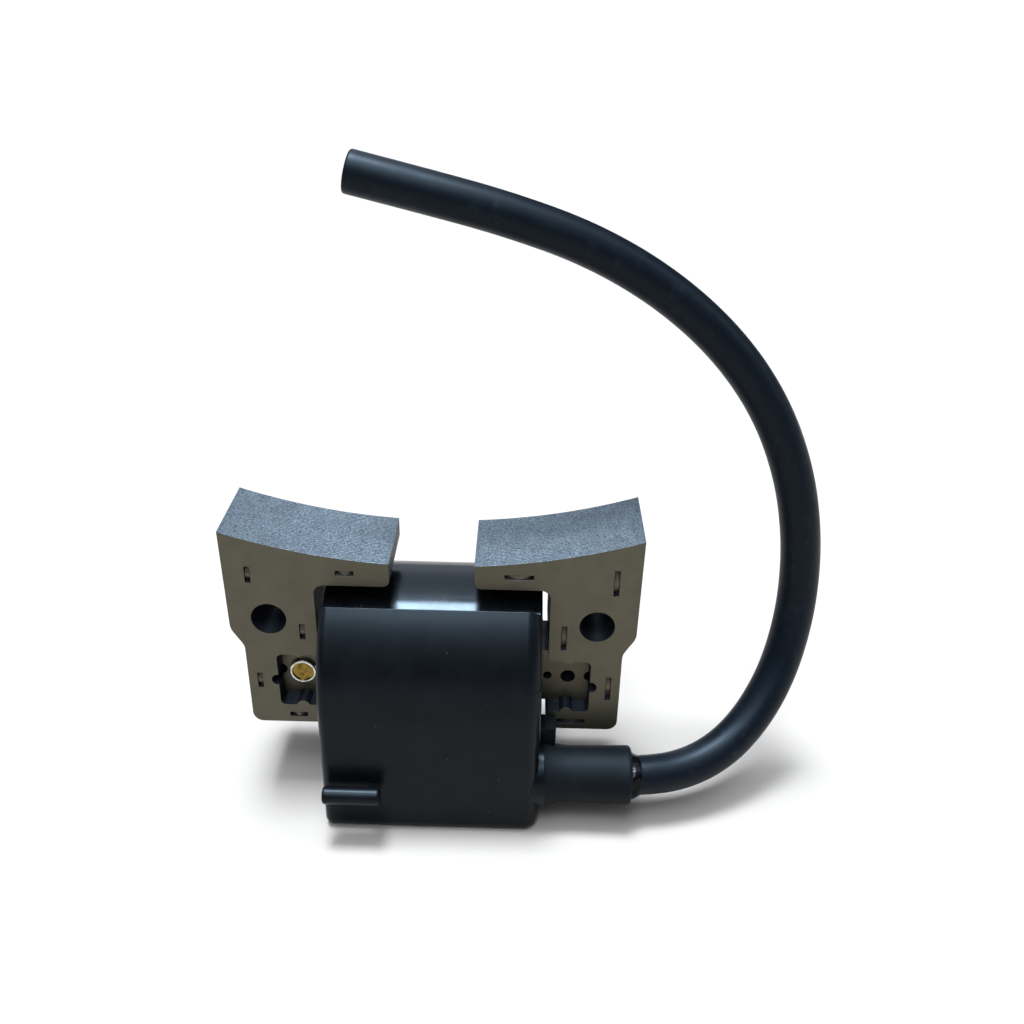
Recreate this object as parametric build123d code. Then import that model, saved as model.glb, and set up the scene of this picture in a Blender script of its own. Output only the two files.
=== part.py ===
from build123d import *
import os
from math import cos, pi, radians, sin, sqrt, tan

# Ignition coil of a small engine, in millimetres.
# The origin is midway between the two mounting holes, on the front face of the core.
# X runs along the row of holes, Y into the depth of the core, Z up towards the flywheel.

cut_margin = 1.0                 # how far a cutting shape stands past the surface it cuts

# ---- Laminated core -----------------------------------------------------------------
hole_spacing = 60.0
hole_radius = 3.2                # clearance for an M6 screw
core_depth = 17.0                # 34 laminations of 0.5
flywheel_radius = 120.0          # the pole faces follow the flywheel's rim
pole_height = 12.05              # height of that arc on the centre line
shoe_inner = 7.6                 # half the gap between the two pole shoes
shoe_underside = 7.5
leg_top_outer = 37.55
leg_knee_upper = (37.3, -2.4)
leg_knee_lower = (35.0, -6.2)
leg_bottom = -23.8
slot_inner = 21.3                # half the room between the legs
window_outer = 29.3
window_top = -8.0
window_bottom = -19.6
knee_upper_round = 3.5
knee_lower_round = 3.0
leg_foot_round = 2.0             # lower outer corner
tip_round = 0.5                  # lower inner corners
window_round = 1.0
window_lip_round = 0.6
shoe_root_round = 1.8
shoe_tip_round = 1.3
lock_hole = (29.5, -13.8)        # round hole shared by the leg and the end of the bar
lock_hole_radius = 1.1
lower_key = (25.1, -19.95)       # round keys that stop the bar from sliding in the leg
upper_key = (25.2, -7.2)
key_radius = 1.3
key_clearance = 0.1

bar_depth = 10.0
bar_front = (core_depth - bar_depth) / 2
bar_corner = 1.05
bar_hole = (25.3, -13.9)
bar_hole_radius = 1.35
bar_hole_depth = 5.0
bar_small_hole = (21.4, -13.8)
bar_small_radius = 0.8

# Interlocks of the laminations: (x, z, turn in degrees) on the right leg.
interlocks = [(15.6, 10.15, 0), (33.0, 9.4, 90), (24.05, -2.7, 90), (32.8, -14.0, 90), (26.1, -21.95, 0)]
interlock_length = 5.25
left_interlock_length = 3.3      # the slots of the left leg are shorter
interlock_width = 0.95
interlock_depth = 0.9
strap_share = 0.61               # bowed strap in the middle of each interlock, as a share of its length
strap_bow = 0.75

# ---- Coil case ----------------------------------------------------------------------
axis_y = core_depth / 2          # the winding axis runs along X through this point
axis_z = (window_top + window_bottom) / 2
case_half = 20.0                 # the case reaches as far to the left as to the right
wall = 1.6
drum_radius = 18.6
box_radius = 25.7                # round front of the box
box_front = -12.35
box_back = 20.0
box_floor = -38.9
box_shoulder = 48.5              # angle of the upper edge of the round front, in degrees
box_end_round = 2.6
box_floor_round = 2.0
box_left_round = 1.5             # lower left corner of the box
edge_round = 0.4
shoulder_round = 0.15            # the upper edge of the box is almost sharp
pad_rise = 0.15                  # raised pad on the right front edge
pad_left = 16.9
pad_top = -7.0
pad_bottom = -18.5
pad_back = -7.5

boss_y = -6.2
boss_z = -29.45
boss_mouth = 37.6
boss_root_radius = 6.0
boss_root_end = 21.0             # the flare runs from here to the waist
boss_flare_middle = (23.4, 5.5)
boss_flare_end = 27.1
boss_lip = 0.8
boss_waist_radius = 5.3
boss_end_radius = 5.5
boss_bore_radius = 3.9
boss_bore_bottom = 23.0

rib_right = 23.2                 # short rib between the end wall and the boss
rib_front = -4.6
rib_back = -0.3
rib_top = -20.2
rib_round = 0.5

hook_radius = 1.65               # wire guide at the lower left
hook_left = -19.4
hook_right = -8.9
hook_y = -15.0
hook_z = -28.2
hook_web = (-11.3, -9.2)         # where the web that holds the hook stands, in X
hook_web_below = 0.9
hook_web_above = 0.7
hook_round = 0.5

# ---- Windings -----------------------------------------------------------------------
coil_half = 17.0
tunnel_clearance = 0.1
primary_tube_wall = 1.0
primary_flange_radius = 11.0
primary_flange = 1.0
primary_build = 2.0              # thickness of the primary winding
secondary_inner = 11.4
secondary_tube_wall = 1.0
secondary_rib_radius = 16.0
secondary_rib = 0.8
secondary_sections = 8
secondary_winding_radius = 15.2
tube_corner = 1.4
tube_depth = bar_depth + 2 * (tunnel_clearance + primary_tube_wall)
tube_height = window_top - window_bottom + 2 * (tunnel_clearance + primary_tube_wall)
section_pitch = (2 * coil_half - secondary_rib) / secondary_sections

# ---- Circuit board ------------------------------------------------------------------
board_front = -10.4
board_depth = 1.2
board_left = -16.0
board_right = 14.0
board_bottom = -36.6
board_top = -17.0
board_face = board_front + board_depth
pin_x = [-14.0, 2.0, 12.0]       # primary start, stop wire, primary finish
pin_z = -35.6
pin_radius = 0.4
pin_back = board_face + 2.0

transistor_x = (-12.5, -5.9)
transistor_z = (-36.0, -29.8)
transistor_back = board_face + 2.3
transistor_leg_pitch = 2.3
transistor_leg_width = 0.8
transistor_leg_top = -27.6
spreader_x = (-13.6, -4.8)
spreader_z = (-36.2, -30.2)
lead_frame = 0.8                 # thickness of the heat spreader
chip_x = (0.0, 5.0)
chip_z = (-26.0, -22.1)
chip_height = 1.6
chip_leg_pitch = 1.27
chip_leg_width = 0.4
chip_leg_reach = 1.0
chip_leg_start = 0.55
leg_thickness = 0.4
resistor_x = (-3.0, 1.4, 5.8, 10.2)
resistor_z = (-29.9, -28.3)
resistor_size = (3.2, 0.6)
capacitor_x = (-3.4, 4.4)
capacitor_z = (-36.2, -31.6)
capacitor_size = (4.2, 5.0)
diode_z = -24.0
diode_x = (-9.0, -4.6)
diode_wire_x = (-12.0, -1.8)
diode_radius = 1.1
diode_wire_radius = 0.35
diode_lift = 1.3

blade_x = (-12.0, -5.7)          # stop terminal, a 6.3 by 0.8 blade
blade_y = (14.0, 28.0)
blade_z = (-34.4, -33.6)
blade_chamfer = 1.2
blade_hole_radius = 0.85
blade_hole_back = 4.0

# ---- Ground connection --------------------------------------------------------------
eyelet_x = -bar_hole[0]
eyelet_z = bar_hole[1]
eyelet_thickness = 0.8
eyelet_front = bar_front - eyelet_thickness
eyelet_radius = 2.6
eyelet_round = 0.25
rivet_radius = 2.1
rivet_recess = 0.35
tail_thickness = 0.5
tail_half_width = 1.2
tail_end = 2.0 - case_half

# ---- Wires inside the case ----------------------------------------------------------
winding_wire_radius = 0.35
winding_wire_bend = 1.0
stop_wire_radius = 0.5
stop_wire_bend = 1.2
output_wire_radius = 0.2
output_wire_bend = 0.5
start_wire_x = -17.6
finish_wire_x = 17.6
wire_top = -23.0
start_wire_low = blade_z[0] + 1.0
start_wire_front = 1.6           # how far behind its pin the start wire crosses over
finish_wire_low = -33.0
finish_wire_y = 0.0
output_wire_stand_off = 0.3      # between the wire and the foot of the spike
output_wire_rise = (1.9, 3.4)    # start and bend of the wire above the middle of the foot
output_wire_end = (0.5, -3.2, -23.6)    # X past the bobbin, then Y and Z
stop_wire_z = (blade_z[0] + blade_z[1]) / 2
stop_wire_y = 6.0
resin_recess = 0.6               # the resin stands this far below the rim of the case

# ---- High-tension lead --------------------------------------------------------------
lead_radius = 3.7
conductor_radius = 0.95
lead_bore = 1.0
lead_start = 24.0                # inner end of the lead, inside the boss
spike_tip = 29.0
spike_radius = 0.9
foot_radius = 2.2
foot_thickness = 1.0
seal_depth = 4.0                 # how far the sealant reaches into the boss
seal_flange = (boss_mouth + 1.6, 4.5)
seal_tip = (boss_mouth + 3.4, 4.1)
seal_mouth_radius = 4.6
arc_share = 0.45                 # share of the shorter run that each arc of the lead takes
lead_route = [
    (lead_start, boss_y, boss_z), (31.8, boss_y, -29.42), (39.6, -6.22, -29.6), (47.7, -4.4, -29.6),
    (55.0, -1.1, -27.6), (60.9, 3.1, -23.6), (65.6, 7.5, -17.3), (68.4, 11.1, -9.1), (69.4, 13.4, 0.9),
    (68.5, 14.7, 12.5), (65.7, 16.3, 24.4), (60.3, 18.0, 36.3), (51.8, 19.3, 47.3), (40.3, 20.2, 56.9),
    (26.9, 20.5, 64.3), (12.1, 20.4, 69.3), (-2.6, 20.5, 72.9), (-14.8, 21.2, 75.6),
]


# ---- Helpers ------------------------------------------------------------------------
def block(x, y, z):
    """Rectangular solid between pairs of limits."""
    size = Box(x[1] - x[0], y[1] - y[0], z[1] - z[0])
    return Pos((x[0] + x[1]) / 2, (y[0] + y[1]) / 2, (z[0] + z[1]) / 2) * size


def rod(radius, x, y, z):
    """Round rod along X between two limits."""
    return Pos((x[0] + x[1]) / 2, y, z) * Rot(0, 90, 0) * Cylinder(radius, x[1] - x[0])


def drill(radius, x, z, y):
    """Round rod along Y between two limits."""
    return Pos(x, (y[0] + y[1]) / 2, z) * Rot(90, 0, 0) * Cylinder(radius, y[1] - y[0])


def rounded_face(outline, corners):
    """Flat face inside an outline, with each corner (u, v, radius) rounded."""
    face = make_face(outline).face()
    for u, v, radius in corners:
        nearest = min(face.vertices(), key=lambda vertex: (Vector(*vertex) - Vector(u, v, 0)).length)
        face = face.fillet_2d(radius, [nearest])
    return face


def across(face, y):
    """Extrude a face drawn in X and Z from one Y to another."""
    return extrude(Pos(0, y[0], 0) * (Plane.XZ * face), amount=-(y[1] - y[0]))


def along(face, x):
    """Extrude a face drawn in Y and Z from one X to another."""
    return extrude(Pos(x[0], 0, 0) * (Plane.YZ * face), amount=x[1] - x[0])


def rounded_bar(width, height, radius, x):
    """Bar along the winding axis with a rounded rectangular section."""
    section = RectangleRounded(width, height, radius)
    return along(Pos(axis_y, axis_z) * section, x)


def wire(points, radius, bend):
    """Thin round wire through a list of points, bent with one radius."""
    path = FilletPolyline(*points, radius=bend)
    start = Plane(origin=path @ 0, z_dir=path % 0)
    return sweep(start * Circle(radius), path=path)


# ---- Core ---------------------------------------------------------------------------
def pole_arc(x):
    """Height of the pole face at a distance from the centre line."""
    return pole_height + flywheel_radius - sqrt(flywheel_radius ** 2 - x ** 2)


def leg_outline():
    """Outline of the right leg in X and Z."""
    inner_top = (shoe_inner, pole_arc(shoe_inner))
    outer_top = (leg_top_outer, pole_arc(leg_top_outer))
    middle = (shoe_inner + leg_top_outer) / 2
    face_arc = ThreePointArc(inner_top, (middle, pole_arc(middle)), outer_top)
    sides = Polyline(
        outer_top, leg_knee_upper, leg_knee_lower, (leg_knee_lower[0], leg_bottom),
        (slot_inner, leg_bottom), (slot_inner, window_bottom), (window_outer, window_bottom),
        (window_outer, window_top), (slot_inner, window_top), (slot_inner, shoe_underside),
        (shoe_inner, shoe_underside), inner_top,
    )
    corners = [
        (*leg_knee_upper, knee_upper_round), (*leg_knee_lower, knee_lower_round),
        (leg_knee_lower[0], leg_bottom, leg_foot_round),
        (slot_inner, leg_bottom, tip_round), (slot_inner, window_bottom, tip_round),
        (window_outer, window_bottom, window_round), (window_outer, window_top, window_round),
        (slot_inner, window_top, window_lip_round), (slot_inner, shoe_underside, shoe_root_round),
        (shoe_inner, shoe_underside, shoe_tip_round),
    ]
    return rounded_face([face_arc, sides], corners)


def interlock_cut(x, z, turn, length):
    """Slot with deep ends, and a strap bowed up towards the face of the stack between them."""
    half_length = length / 2
    half_width = interlock_width / 2
    bow_radius = ((strap_share * half_length) ** 2 + strap_bow ** 2) / (2 * strap_bow)
    slot = block((-half_length, half_length), (-cut_margin, interlock_depth), (-half_width, half_width))
    strap = Pos(0, interlock_depth - strap_bow + bow_radius, 0) * Cylinder(bow_radius, 2 * interlock_width)
    return Pos(x, 0, z) * Rot(0, turn, 0) * (slot - strap)


def core_leg(slot_length):
    """Laminated right leg with its pole shoe, mounting hole, window, keys and interlocks."""
    leg = across(leg_outline(), (0, core_depth))
    through = (-cut_margin, core_depth + cut_margin)
    leg -= drill(hole_radius, hole_spacing / 2, 0, through)
    leg -= drill(lock_hole_radius, *lock_hole, through)
    keys = drill(key_radius, *lower_key, (0, core_depth)) + drill(key_radius, *upper_key, (0, core_depth))
    leg += keys
    for x, z, turn in interlocks:
        front = interlock_cut(x, z, turn, slot_length)
        leg -= front
        leg -= mirror(front, about=Plane.XZ.offset(-core_depth / 2))
    return leg


def core_leg_left():
    """Mirror image of the right leg, with shorter interlocks."""
    return mirror(core_leg(left_interlock_length), about=Plane.YZ)


def core_bar():
    """Laminated bar that carries the windings and joins the two legs."""
    face = Pos(0, axis_z) * RectangleRounded(2 * window_outer, window_top - window_bottom, bar_corner)
    bar = across(face, (bar_front, bar_front + bar_depth))
    through = (bar_front - cut_margin, bar_front + bar_depth + cut_margin)
    blind = (bar_front - cut_margin, bar_front + bar_hole_depth)
    notch = key_radius + key_clearance
    for side in (-1, 1):
        bar -= drill(lock_hole_radius, side * lock_hole[0], lock_hole[1], through)
        bar -= drill(notch, side * lower_key[0], lower_key[1], through)
        bar -= drill(notch, side * upper_key[0], upper_key[1], through)
        bar -= drill(bar_hole_radius, side * bar_hole[0], bar_hole[1], blind)
    bar -= drill(bar_small_radius, *bar_small_hole, blind)
    return bar


# ---- Coil case ----------------------------------------------------------------------
def box_section(inset):
    """Section of the box in Y and Z, before its upper edge is cut; inset shrinks it."""
    radius = box_radius - inset
    centre_y = box_front + box_radius
    top = (centre_y, axis_z + radius)
    middle = (centre_y - radius * cos(pi / 4), axis_z + radius * sin(pi / 4))
    front = (box_front + inset, axis_z)
    floor = box_floor + inset
    back = box_back - inset
    corners = [(front[0], floor), (back, floor), (back, top[1])]
    outline = [ThreePointArc(top, middle, front), Polyline(front, *corners, top)]
    return rounded_face(outline, [(*corner, box_floor_round - inset / 2) for corner in corners])


def above_shoulder(inset):
    """Region above the box's upper edge, which runs straight towards the winding axis."""
    shoulder = radians(box_shoulder)
    edge = Vector(
        box_front + box_radius * (1 - cos(shoulder)) - axis_y,
        box_radius * sin(shoulder),
    ).normalized()
    apex = Vector(axis_y, axis_z) + Vector(-edge.Y, edge.X) * inset
    reach = 3 * box_radius
    return make_face(Polyline(apex, apex + edge * reach, (reach, reach), (reach, axis_z), apex))


def box_body(inset, x, end_round=0.0):
    """Box of the case, with its right end rounded into the end wall."""
    body = along(box_section(inset), x)
    if end_round:
        body = fillet(body.faces().sort_by(Axis.X)[-1].edges(), end_round)
    body -= along(above_shoulder(inset), (x[0] - cut_margin, x[1] + cut_margin))
    if end_round:
        low_left = body.edges().filter_by(Axis.Y).sort_by(Axis.Z)[:1]
        body = fillet(low_left, box_left_round)
        body = fillet(body.edges().filter_by(Axis.X).sort_by(Axis.Z)[-1], shoulder_round)
    return body


def boss_solid():
    """Round boss for the high-tension lead, with a flared root and a rounded mouth."""
    root = case_half - wall
    lip_start = (boss_mouth - boss_lip, boss_end_radius)
    lip_end = (boss_mouth, boss_end_radius - boss_lip)
    lip_drop = boss_lip * (1 - cos(pi / 4))
    lip_middle = (boss_mouth - lip_drop, boss_end_radius - lip_drop)
    flare_start = (boss_root_end, boss_root_radius)
    waist = (boss_flare_end, boss_waist_radius)
    outline = [
        Polyline((root, 0), (root, boss_root_radius), flare_start),
        ThreePointArc(flare_start, boss_flare_middle, waist),
        Line(waist, lip_start),
        ThreePointArc(lip_start, lip_middle, lip_end),
        Polyline(lip_end, (boss_mouth, 0), (root, 0)),
    ]
    return Pos(0, boss_y, boss_z) * revolve(make_face(outline), Axis.X)


def rib_solid():
    """Short rib between the end wall and the boss, with its outer edges rounded."""
    rib = block((case_half - wall, rib_right), (rib_front, rib_back), (boss_z, rib_top))
    outer_edges = rib.faces().sort_by(Axis.X)[-1].edges().filter_by(Axis.Z)
    return fillet(outer_edges, rib_round)


def hook_solid():
    """Wire guide: a short bar held off the front by a web at one end."""
    bar = rod(hook_radius, (hook_left, hook_right), hook_y, hook_z)
    bar = fillet(bar.edges(), hook_round)
    web_height = (hook_z - hook_web_below, hook_z + hook_web_above)
    return bar + block(hook_web, (hook_y, box_front + wall / 2), web_height)


def coil_case():
    """Moulded case: drum, box, boss, rib, wire guide and raised pad, open at the left end."""
    ends = (-case_half, case_half)
    inner = (-case_half - cut_margin, case_half - wall)
    drum = rod(drum_radius, ends, axis_y, axis_z)
    drum = fillet(drum.edges().sort_by(Axis.X)[-1], edge_round)
    case = drum + box_body(0, ends, box_end_round)
    pad = box_body(-pad_rise, (0, case_half + pad_rise), box_end_round + pad_rise)
    case += pad & block((pad_left, case_half + 1), (box_front - 1, pad_back), (pad_bottom, pad_top))
    case += boss_solid() + rib_solid() + hook_solid()
    case -= rod(drum_radius - wall, inner, axis_y, axis_z)
    case -= box_body(wall, inner)
    case -= core_tunnel()
    case -= rod(boss_bore_radius, (boss_bore_bottom, boss_mouth + cut_margin), boss_y, boss_z)
    case -= rod(spike_radius, (case_half - wall - cut_margin, boss_mouth), boss_y, boss_z)
    case -= kill_blade()
    return case


def core_tunnel():
    """Room for the bar through everything on the winding axis."""
    return block(
        (-case_half - cut_margin, case_half + cut_margin),
        (bar_front - tunnel_clearance, bar_front + bar_depth + tunnel_clearance),
        (window_bottom - tunnel_clearance, window_top + tunnel_clearance),
    )


# ---- Windings -----------------------------------------------------------------------
def primary_bobbin():
    """Square tube with a round flange at each end."""
    bobbin = rounded_bar(tube_depth, tube_height, tube_corner, (-coil_half, coil_half))
    bobbin += rod(primary_flange_radius, (-coil_half, primary_flange - coil_half), axis_y, axis_z)
    bobbin += rod(primary_flange_radius, (coil_half - primary_flange, coil_half), axis_y, axis_z)
    return bobbin - core_tunnel()


def primary_winding():
    """Thick-wire winding on the square tube."""
    inside = (primary_flange - coil_half, coil_half - primary_flange)
    depth = tube_depth + 2 * primary_build
    height = tube_height + 2 * primary_build
    winding = rounded_bar(depth, height, tube_corner + primary_build, inside)
    return winding - rounded_bar(tube_depth, tube_height, tube_corner, inside)


def secondary_bobbin():
    """Round tube with ribs that part the fine winding into sections."""
    bobbin = rod(secondary_inner + secondary_tube_wall, (-coil_half, coil_half), axis_y, axis_z)
    for number in range(secondary_sections + 1):
        start = number * section_pitch - coil_half
        bobbin += rod(secondary_rib_radius, (start, start + secondary_rib), axis_y, axis_z)
    return bobbin - rod(secondary_inner, (-coil_half, coil_half), axis_y, axis_z)


def secondary_winding():
    """One ring of fine wire in each section of the bobbin."""
    tube_radius = secondary_inner + secondary_tube_wall
    rings = []
    for number in range(secondary_sections):
        start = number * section_pitch - coil_half + secondary_rib
        x = (start, start + section_pitch - secondary_rib)
        ring = rod(secondary_winding_radius, x, axis_y, axis_z) - rod(tube_radius, x, axis_y, axis_z)
        rings.append(ring)
    return Compound(children=rings)


# ---- Electronics --------------------------------------------------------------------
def circuit_board():
    """Board that stands behind the front wall."""
    board = block((board_left, board_right), (board_front, board_face), (board_bottom, board_top))
    for x in pin_x:
        board -= drill(pin_radius, x, pin_z, (board_front, board_face))
    return board


def board_pins():
    """Pins that take the winding ends and the stop wire to the board."""
    return Compound(children=[drill(pin_radius, x, pin_z, (board_front, pin_back)) for x in pin_x])


def power_transistor():
    """Flat package with three legs that switches the primary current."""
    body = block(transistor_x, (board_face, transistor_back), transistor_z)
    leg_y = (board_face, board_face + leg_thickness)
    for step in (-transistor_leg_pitch, 0, transistor_leg_pitch):
        left = sum(transistor_x) / 2 + step - transistor_leg_width / 2
        body += block((left, left + transistor_leg_width), leg_y, (transistor_z[1], transistor_leg_top))
    return body


def heat_spreader():
    """Copper plate on the back of the transistor."""
    return block(spreader_x, (transistor_back, transistor_back + lead_frame), spreader_z)


def control_chip():
    """Small control chip with four legs on each side."""
    chip = block(chip_x, (board_face, board_face + chip_height), chip_z)
    leg_y = (board_face, board_face + leg_thickness)
    leg_z = (chip_z[0] - chip_leg_reach, chip_z[1] + chip_leg_reach)
    for number in range(4):
        left = chip_x[0] + chip_leg_start + chip_leg_pitch * number - chip_leg_width / 2
        chip += block((left, left + chip_leg_width), leg_y, leg_z)
    return chip


def chip_resistors():
    """Chip resistors in a row."""
    length, height = resistor_size
    y = (board_face, board_face + height)
    return Compound(children=[block((x, x + length), y, resistor_z) for x in resistor_x])


def film_capacitors():
    """Two boxed capacitors at the bottom of the board."""
    length, height = capacitor_size
    y = (board_face, board_face + height)
    return Compound(children=[block((x, x + length), y, capacitor_z) for x in capacitor_x])


def clamp_diode():
    """Round diode lying along the board, with its two wires."""
    y = board_face + diode_lift
    return rod(diode_radius, diode_x, y, diode_z) + rod(diode_wire_radius, diode_wire_x, y, diode_z)


def kill_blade():
    """Space that the stop terminal takes up."""
    return block(blade_x, blade_y, blade_z)


def kill_terminal():
    """Blade terminal for the stop wire, with a hole and a chamfered tip."""
    blade = kill_blade()
    blade = chamfer(blade.edges().filter_by(Axis.Z).sort_by(Axis.Y)[-2:], blade_chamfer)
    hole = Cylinder(blade_hole_radius, 2 * (blade_z[1] - blade_z[0]))
    return blade - Pos(sum(blade_x) / 2, blade_y[1] - blade_hole_back, sum(blade_z) / 2) * hole


# ---- Ground connection --------------------------------------------------------------
def ground_eyelet():
    """Ring terminal that stands on the bar, with a tail that runs into the case."""
    ring = drill(eyelet_radius, eyelet_x, eyelet_z, (eyelet_front, bar_front))
    ring = fillet(ring.edges().sort_by(Axis.Y)[0], eyelet_round)
    tail_y = (bar_front - tail_thickness, bar_front)
    tail_z = (eyelet_z - tail_half_width, eyelet_z + tail_half_width)
    tail = block((eyelet_x, tail_end), tail_y, tail_z)
    return ring + tail - drill(rivet_radius, eyelet_x, eyelet_z, (eyelet_front - cut_margin, bar_front))


def ground_rivet():
    """Brass rivet through the eyelet into the bar."""
    head = drill(rivet_radius, eyelet_x, eyelet_z, (eyelet_front + rivet_recess, bar_front))
    return head + drill(bar_hole_radius, eyelet_x, eyelet_z, (bar_front, bar_front + bar_hole_depth))


# ---- High-tension side --------------------------------------------------------------
def ht_terminal():
    """Brass spike that pierces the end of the lead, with a round foot inside the case."""
    inner = case_half - wall
    foot = rod(foot_radius, (inner - foot_thickness, inner), boss_y, boss_z)
    return foot + rod(spike_radius, (inner, spike_tip), boss_y, boss_z)


def lead_path():
    """Centre line of the lead: straight runs joined by the largest tangent arcs."""
    points = [Vector(*point) for point in lead_route]
    radii = []
    for before, corner, after in zip(points, points[1:], points[2:]):
        run = min((corner - before).length, (after - corner).length)
        half_turn = radians((corner - before).get_angle(after - corner)) / 2
        radii.append(arc_share * run / tan(half_turn))
    print("lead radii", [round(radius, 1) for radius in radii])
    return FilletPolyline(*points, radius=radii)


def lead_tube(path, outer):
    """Solid round tube along the lead's centre line."""
    return sweep(Plane(origin=path @ 0, z_dir=path % 0) * Circle(outer), path=path)


def ht_seal(path):
    """Collar of sealant between the lead and the mouth of the boss."""
    inner_end = boss_mouth - seal_depth
    core = lead_radius / 2
    profile = Polyline(
        (inner_end, core), (inner_end, boss_bore_radius), (boss_mouth, boss_bore_radius),
        (boss_mouth, seal_mouth_radius), seal_flange, seal_tip, (seal_tip[0], core), (inner_end, core),
    )
    collar = Pos(0, boss_y, boss_z) * revolve(make_face(profile), Axis.X)
    return collar - lead_tube(path, lead_radius)


# ---- Wires and resin ----------------------------------------------------------------
def primary_start_wire():
    """Start of the primary winding, led down to its board pin."""
    top = (start_wire_x, axis_y, wire_top)
    low = (start_wire_x, axis_y, start_wire_low)
    front = (start_wire_x, pin_back + start_wire_front, pin_z)
    beside_pin = (pin_x[0], pin_back + start_wire_front, pin_z)
    points = [top, low, front, beside_pin, (pin_x[0], pin_back, pin_z)]
    return wire(points, winding_wire_radius, winding_wire_bend)


def primary_finish_wire():
    """End of the primary winding, led down to its board pin."""
    top = (finish_wire_x, stop_wire_y, wire_top)
    low = (finish_wire_x, stop_wire_y, finish_wire_low)
    behind_pin = (pin_x[2], finish_wire_y, pin_z)
    points = [top, low, behind_pin, (pin_x[2], pin_back, pin_z)]
    return wire(points, winding_wire_radius, winding_wire_bend)


def stop_wire():
    """Wire from the board to the stop terminal."""
    blade_centre = sum(blade_x) / 2
    behind_pin = (pin_x[1], stop_wire_y, pin_z)
    behind_board = (blade_centre, stop_wire_y, stop_wire_z)
    points = [(pin_x[1], pin_back, pin_z), behind_pin, behind_board, (blade_centre, blade_y[0], stop_wire_z)]
    return wire(points, stop_wire_radius, stop_wire_bend)


def ht_output_wire():
    """Fine wire from the last winding section to the foot of the spike."""
    x = case_half - wall - foot_thickness - output_wire_stand_off
    start, bend = output_wire_rise
    past, y, z = output_wire_end
    points = [(x, boss_y, boss_z + start), (x, boss_y, boss_z + bend), (coil_half + past, y, z)]
    return wire(points, output_wire_radius, output_wire_bend)


def potting_resin(inside):
    """Resin that fills the case round everything in it."""
    x = (resin_recess - case_half, case_half - wall)
    resin = rod(drum_radius - wall, x, axis_y, axis_z) + box_body(wall, x)
    resin -= core_tunnel()
    for piece in inside:
        resin -= piece
    return resin


def build():
    """Make every piece and return it by its node name."""
    path = lead_path()
    jacket = lead_tube(path, lead_radius) - lead_tube(path, lead_bore)
    spike_room = rod(2 * lead_bore, (lead_start - cut_margin, spike_tip), boss_y, boss_z)
    section = pi * (lead_radius ** 2 - lead_bore ** 2)
    print("lead length", round(path.length, 2), "volume over section", round(jacket.volume / section, 2))
    pieces = {
        "core_leg_left": core_leg_left(),
        "core_leg_right": core_leg(interlock_length),
        "core_bar": core_bar(),
        "coil_case": coil_case(),
        "primary_bobbin": primary_bobbin(),
        "primary_winding": primary_winding(),
        "secondary_bobbin": secondary_bobbin(),
        "secondary_winding": secondary_winding(),
        "circuit_board": circuit_board(),
        "board_pins": board_pins(),
        "power_transistor": power_transistor(),
        "heat_spreader": heat_spreader(),
        "control_chip": control_chip(),
        "chip_resistors": chip_resistors(),
        "film_capacitors": film_capacitors(),
        "clamp_diode": clamp_diode(),
        "kill_terminal": kill_terminal(),
        "stop_wire": stop_wire(),
        "primary_start_wire": primary_start_wire(),
        "primary_finish_wire": primary_finish_wire(),
        "ht_output_wire": ht_output_wire(),
        "ht_terminal": ht_terminal(),
        "ground_eyelet": ground_eyelet(),
        "ground_rivet": ground_rivet(),
        "ht_seal": ht_seal(path),
        "ht_lead": jacket,
        "ht_conductor": lead_tube(path, conductor_radius) - spike_room,
    }
    core = ("core_leg_left", "core_leg_right", "core_bar")
    outside = core + ("coil_case", "ht_seal", "ht_lead", "ht_conductor")
    inside = [piece for name, piece in pieces.items() if name not in outside]
    pieces["potting_resin"] = potting_resin(inside)
    return pieces


os.makedirs("parts", exist_ok=True)
for name, piece in build().items():
    export_step(piece, f"parts/{name}.step")
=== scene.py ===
"""Ignition coil of a small engine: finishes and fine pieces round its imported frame."""
import logging
import math
import random
from dataclasses import dataclass, field
from enum import Enum
from typing import Callable, Sequence

import bmesh
import bpy
from mathutils import Matrix, Vector
from mathutils.geometry import tessellate_polygon


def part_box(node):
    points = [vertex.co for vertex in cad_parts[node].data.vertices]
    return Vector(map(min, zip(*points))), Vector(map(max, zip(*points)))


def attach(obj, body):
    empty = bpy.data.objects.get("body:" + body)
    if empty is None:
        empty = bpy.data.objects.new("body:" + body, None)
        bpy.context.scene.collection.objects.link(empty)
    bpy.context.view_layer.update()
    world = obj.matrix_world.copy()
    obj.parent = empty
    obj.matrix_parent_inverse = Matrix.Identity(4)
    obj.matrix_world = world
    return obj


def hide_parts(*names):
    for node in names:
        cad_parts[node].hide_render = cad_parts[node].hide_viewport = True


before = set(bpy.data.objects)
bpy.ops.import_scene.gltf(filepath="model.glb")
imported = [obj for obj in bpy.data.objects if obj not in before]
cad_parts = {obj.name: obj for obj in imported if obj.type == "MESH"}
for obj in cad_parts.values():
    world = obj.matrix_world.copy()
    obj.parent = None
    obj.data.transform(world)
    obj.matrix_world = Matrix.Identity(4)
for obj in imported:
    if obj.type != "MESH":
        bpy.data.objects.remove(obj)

MM = 0.001
LOG = logging.getLogger("ignition_coil")
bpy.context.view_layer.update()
Color = tuple[float, float, float]
Place = tuple[float, float, float]
Pair = tuple[float, float]
Quad = tuple[int, ...]
Socket = bpy.types.NodeSocket
Material = bpy.types.Material
Piece = bpy.types.Object


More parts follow.
